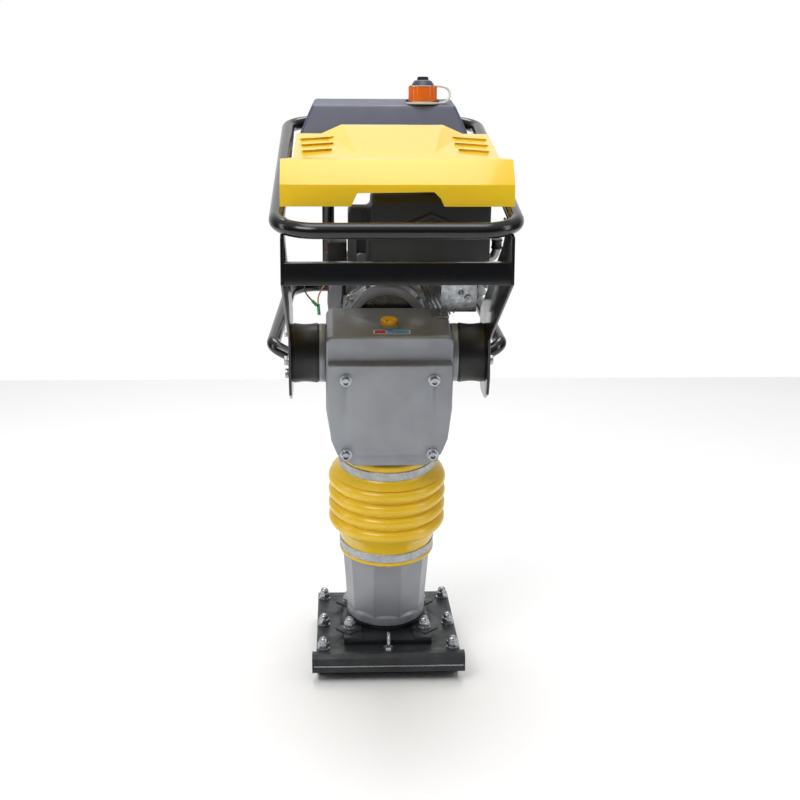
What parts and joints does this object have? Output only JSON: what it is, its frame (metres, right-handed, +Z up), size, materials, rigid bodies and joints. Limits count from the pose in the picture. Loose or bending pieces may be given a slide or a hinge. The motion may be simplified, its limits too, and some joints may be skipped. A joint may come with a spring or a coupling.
{
  "type": "tamping rammer",
  "caption": "Upright petrol tamping rammer: flat shoe, leaning leg with ribbed bellows, crankcase with rear engine, rubber mounted tube handle, yellow cover and fuel tank",
  "frame": {"origin": "middle of the sole plate's underside, on the ground", "axes": "+Z up; -Y towards the toe of the shoe, +Y towards the operator; +X to the right when seen from the front"},
  "size_m": [0.4484, 0.813, 1.1145],
  "materials": {
    "worn_steel": "dark worn plate",
    "dark_board": "dark stained laminated board",
    "zinc": "bright zinc plate",
    "black_casting": "black painted casting",
    "silver_paint": "silver grey machine enamel",
    "clamp_steel": "galvanised band",
    "bellows_rubber": "smooth yellow elastomer",
    "spring_steel": "oiled steel",
    "gear_steel": "ground gear steel",
    "gasket": "fibre gasket",
    "plug_yellow": "yellow plug",
    "engine_alloy": "die cast alloy",
    "black_rubber": "moulded black rubber",
    "engine_black": "black moulded cover",
    "engine_red": "dark red enamel",
    "lead_black": "black wire cover",
    "lead_brown": "light brown wire cover",
    "sleeve_green": "green sleeve",
    "frame_black": "black gloss powder coat",
    "hood_yellow": "glossy yellow moulding",
    "tank_grey": "blue grey moulded tank",
    "cap_orange": "orange ribbed cap"
  },
  "bodies": {
    "foot": {"sole_plate": "worn_steel", "shoe_board": "dark_board", "shoe_top_plate": "worn_steel", "shoe_bolts": "zinc", "foot_flange": "black_casting", "flange_bolts": "zinc", "eye_bolt": "zinc", "foot_cylinder": "silver_paint", "lower_bellows_clamp": "clamp_steel", "bellows": "bellows_rubber", "spring_cylinder": "spring_steel", "spring_cap": "spring_steel", "lower_spring": "spring_steel", "upper_spring": "spring_steel"},
    "ram_piston": {"ram_piston": "gear_steel"},
    "crankcase": {"guide_cylinder": "gear_steel", "upper_bellows_clamp": "clamp_steel", "crankcase": "silver_paint", "crankcase_cover": "silver_paint", "cover_gasket": "gasket", "cover_screws": "zinc", "oil_plug": "plug_yellow", "shaft_bearings": "gear_steel", "mount_discs": "silver_paint", "clutch_housing": "silver_paint", "engine_block": "engine_alloy", "engine_cylinder": "engine_alloy", "rocker_cover": "engine_alloy", "spark_plug": "black_rubber", "carburettor": "engine_alloy", "air_cleaner": "engine_black", "muffler": "engine_black", "fan_shroud": "engine_red", "recoil_starter": "engine_black", "cable_bracket": "zinc", "switch_box": "engine_black", "black_stop_lead": "lead_black", "brown_stop_lead": "lead_brown", "lead_sleeves": "sleeve_green"},
    "handle_frame": {"left_side_plate": "frame_black", "right_side_plate": "frame_black", "front_crossbar": "frame_black", "top_loop": "frame_black", "lower_guard": "frame_black", "rubber_mounts": "black_rubber", "mount_nuts": "zinc", "top_cover": "hood_yellow", "fuel_tank": "tank_grey", "throttle_clamp": "frame_black"},
    "crank_gear": {"crank_gear": "gear_steel"},
    "connecting_rod": {"connecting_rod": "gear_steel"},
    "clutch_drum": {"clutch_drum": "gear_steel"},
    "engine_crankshaft": {"crankshaft": "gear_steel", "clutch_shoes": "gear_steel", "flywheel": "engine_alloy"},
    "starter_grip": {"starter_grip": "black_rubber"},
    "choke_lever": {"choke_lever": "zinc"},
    "stop_button": {"stop_button": "engine_red"},
    "fuel_cap": {"fuel_cap": "cap_orange"},
    "throttle_lever": {"throttle_lever": "engine_black"}
  },
  "joints": [
    {"name": "leg_stroke", "type": "slide", "parent": "foot", "child": "crankcase", "axis": [0, -0.1822, 0.9833], "range_m": [-0.006, 0.044], "deforming": ["bellows"]},
    {"name": "spring_float", "type": "slide", "parent": "foot", "child": "ram_piston", "axis": [0, -0.1822, 0.9833], "range_m": [-0.01, 0.01], "stiffness_N_per_m": 60000, "deforming": ["lower_spring", "upper_spring"]},
    {"name": "frame_rock", "type": "hinge", "parent": "crankcase", "child": "handle_frame", "pos_m": [0, -0.09731, 0.61506], "axis": [1, 0, 0], "range_deg": [-2.5, 2.5], "stiffness_Nm_per_rad": 3000},
    {"name": "crank_turn", "type": "hinge", "parent": "crankcase", "child": "crank_gear", "pos_m": [0, -0.04053, 0.53914], "axis": [0, 0.9833, 0.1822], "continuous": true},
    {"name": "rod_swing", "type": "hinge", "parent": "crank_gear", "child": "connecting_rod", "pos_m": [0, -0.08583, 0.55311], "axis": [0, 0.9833, 0.1822], "continuous": true},
    {"name": "drum_turn", "type": "hinge", "parent": "crankcase", "child": "clutch_drum", "pos_m": [0, -0.04219, 0.64689], "axis": [0, 0.9833, 0.1822], "continuous": true},
    {"name": "engine_turn", "type": "hinge", "parent": "crankcase", "child": "engine_crankshaft", "pos_m": [0, 0.09546, 0.6724], "axis": [0, 0.9833, 0.1822], "continuous": true},
    {"name": "starter_pull", "type": "slide", "parent": "crankcase", "child": "starter_grip", "axis": [0, 0.9833, 0.1822], "range_m": [0, 0.6], "stiffness_N_per_m": 20, "springref_m": -0.5},
    {"name": "choke_turn", "type": "hinge", "parent": "crankcase", "child": "choke_lever", "pos_m": [-0.01, 0.08445, 0.80867], "axis": [1, 0, 0], "range_deg": [-70, 0]},
    {"name": "stop_press", "type": "slide", "parent": "crankcase", "child": "stop_button", "axis": [1, 0, 0], "range_m": [0, 0.0015], "stiffness_N_per_m": 800},
    {"name": "cap_turn", "type": "hinge", "parent": "handle_frame", "child": "fuel_cap", "pos_m": [0.077, 0.177, 1.08], "axis": [0, 0, 1], "range_deg": [0, 90]},
    {"name": "throttle_swing", "type": "hinge", "parent": "handle_frame", "child": "throttle_lever", "pos_m": [0.06, 0.263, 1.033], "axis": [0, 0, 1], "range_deg": [-60, 0]}
  ],
  "couplings": [
    {"joint": "rod_swing", "follows": "crank_turn", "ratio": -1},
    {"joint": "drum_turn", "follows": "crank_turn", "ratio": -4.6667}
  ]
}
